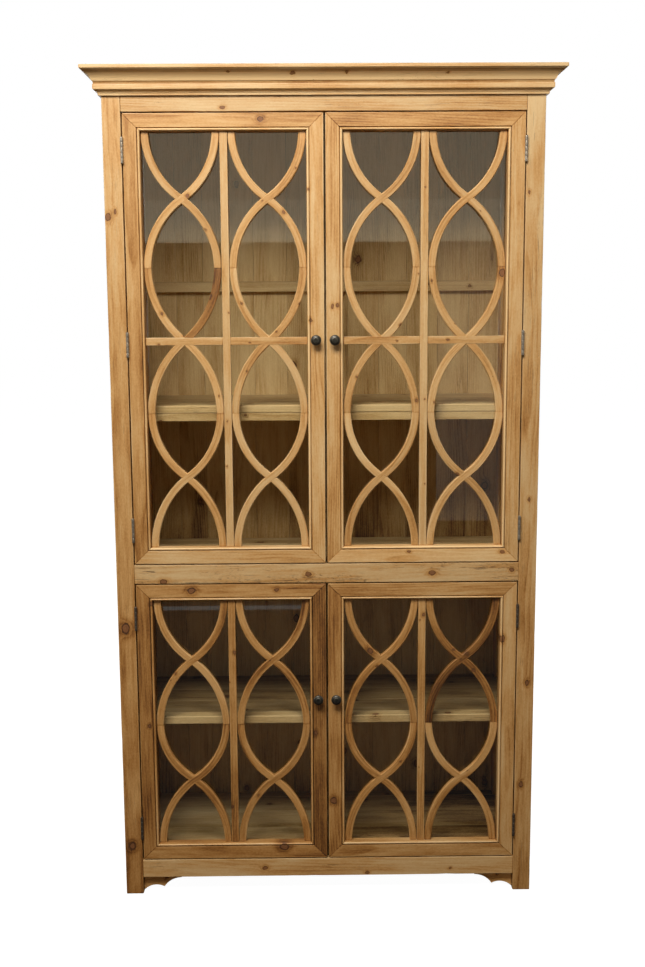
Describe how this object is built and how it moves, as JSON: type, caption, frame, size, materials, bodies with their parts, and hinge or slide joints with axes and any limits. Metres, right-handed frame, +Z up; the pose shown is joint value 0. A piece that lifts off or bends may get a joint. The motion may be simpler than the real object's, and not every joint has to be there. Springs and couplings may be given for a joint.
{
  "type": "pantry cabinet",
  "caption": "Tall pine pantry cabinet with tall upper and short lower glass doors under curved interlaced fretwork, crown moulding, scalloped foot brackets and round knobs.",
  "frame": {"origin": "on the floor under the middle of the whole cabinet's bounding box, crown moulding included", "axes": "+Z up, -Y out of the doors' faces, +X to the right of a person facing the doors"},
  "size_m": [1.298, 0.499, 2.362],
  "materials": {
    "old_pine": "waxed old pine, satin, with knots and worn edges",
    "inside_pine": "unpolished pine boards, matt",
    "clear_glass": "clear window glass",
    "dark_bronze": "dark antique bronze, low sheen",
    "aged_steel": "dull aged steel"
  },
  "bodies": {
    "cabinet": {"front_post_left": "old_pine", "front_post_right": "old_pine", "rear_post_left": "old_pine", "rear_post_right": "old_pine", "face_rail_top": "old_pine", "face_rail_middle": "old_pine", "face_rail_bottom": "old_pine", "side_panel_left": "old_pine", "side_panel_right": "old_pine", "top_board": "old_pine", "crown_front": "old_pine", "crown_left": "old_pine", "crown_right": "old_pine", "deck_middle": "inside_pine", "deck_bottom": "inside_pine", "upper_shelf": "inside_pine", "upper_shelf_rail": "inside_pine", "lower_shelf": "inside_pine", "back_boards_upper": "inside_pine", "back_boards_lower": "inside_pine", "back_rail": "inside_pine", "foot_bracket_left": "old_pine", "foot_bracket_right": "old_pine", "hinge_fixed_leaf_upper_left_top": "aged_steel", "hinge_fixed_leaf_upper_left_middle": "aged_steel", "hinge_fixed_leaf_upper_left_bottom": "aged_steel", "hinge_fixed_leaf_upper_right_top": "aged_steel", "hinge_fixed_leaf_upper_right_middle": "aged_steel", "hinge_fixed_leaf_upper_right_bottom": "aged_steel", "hinge_fixed_leaf_lower_left_top": "aged_steel", "hinge_fixed_leaf_lower_left_bottom": "aged_steel", "hinge_fixed_leaf_lower_right_top": "aged_steel", "hinge_fixed_leaf_lower_right_bottom": "aged_steel"},
    "door_upper_left": {"door_upper_left_frame": "old_pine", "door_upper_left_lattice": "old_pine", "door_upper_left_glass": "clear_glass", "door_upper_left_knob": "dark_bronze", "hinge_door_leaf_upper_left_top": "aged_steel", "hinge_door_leaf_upper_left_middle": "aged_steel", "hinge_door_leaf_upper_left_bottom": "aged_steel"},
    "door_upper_right": {"door_upper_right_frame": "old_pine", "door_upper_right_lattice": "old_pine", "door_upper_right_glass": "clear_glass", "door_upper_right_knob": "dark_bronze", "hinge_door_leaf_upper_right_top": "aged_steel", "hinge_door_leaf_upper_right_middle": "aged_steel", "hinge_door_leaf_upper_right_bottom": "aged_steel"},
    "door_lower_left": {"door_lower_left_frame": "old_pine", "door_lower_left_lattice": "old_pine", "door_lower_left_glass": "clear_glass", "door_lower_left_knob": "dark_bronze", "hinge_door_leaf_lower_left_top": "aged_steel", "hinge_door_leaf_lower_left_bottom": "aged_steel"},
    "door_lower_right": {"door_lower_right_frame": "old_pine", "door_lower_right_lattice": "old_pine", "door_lower_right_glass": "clear_glass", "door_lower_right_knob": "dark_bronze", "hinge_door_leaf_lower_right_top": "aged_steel", "hinge_door_leaf_lower_right_bottom": "aged_steel"}
  },
  "joints": [
    {"name": "door_upper_left_hinge", "type": "hinge", "parent": "cabinet", "child": "door_upper_left", "pos_m": [-0.5475, -0.205, 1.6226], "axis": [0, 0, -1], "range_deg": [0, 170]},
    {"name": "door_upper_right_hinge", "type": "hinge", "parent": "cabinet", "child": "door_upper_right", "pos_m": [0.5475, -0.205, 1.6226], "axis": [0, 0, 1], "range_deg": [0, 170]},
    {"name": "door_lower_left_hinge", "type": "hinge", "parent": "cabinet", "child": "door_lower_left", "pos_m": [-0.5475, -0.205, 0.5247], "axis": [0, 0, -1], "range_deg": [0, 170]},
    {"name": "door_lower_right_hinge", "type": "hinge", "parent": "cabinet", "child": "door_lower_right", "pos_m": [0.5475, -0.205, 0.5247], "axis": [0, 0, 1], "range_deg": [0, 170]}
  ]
}
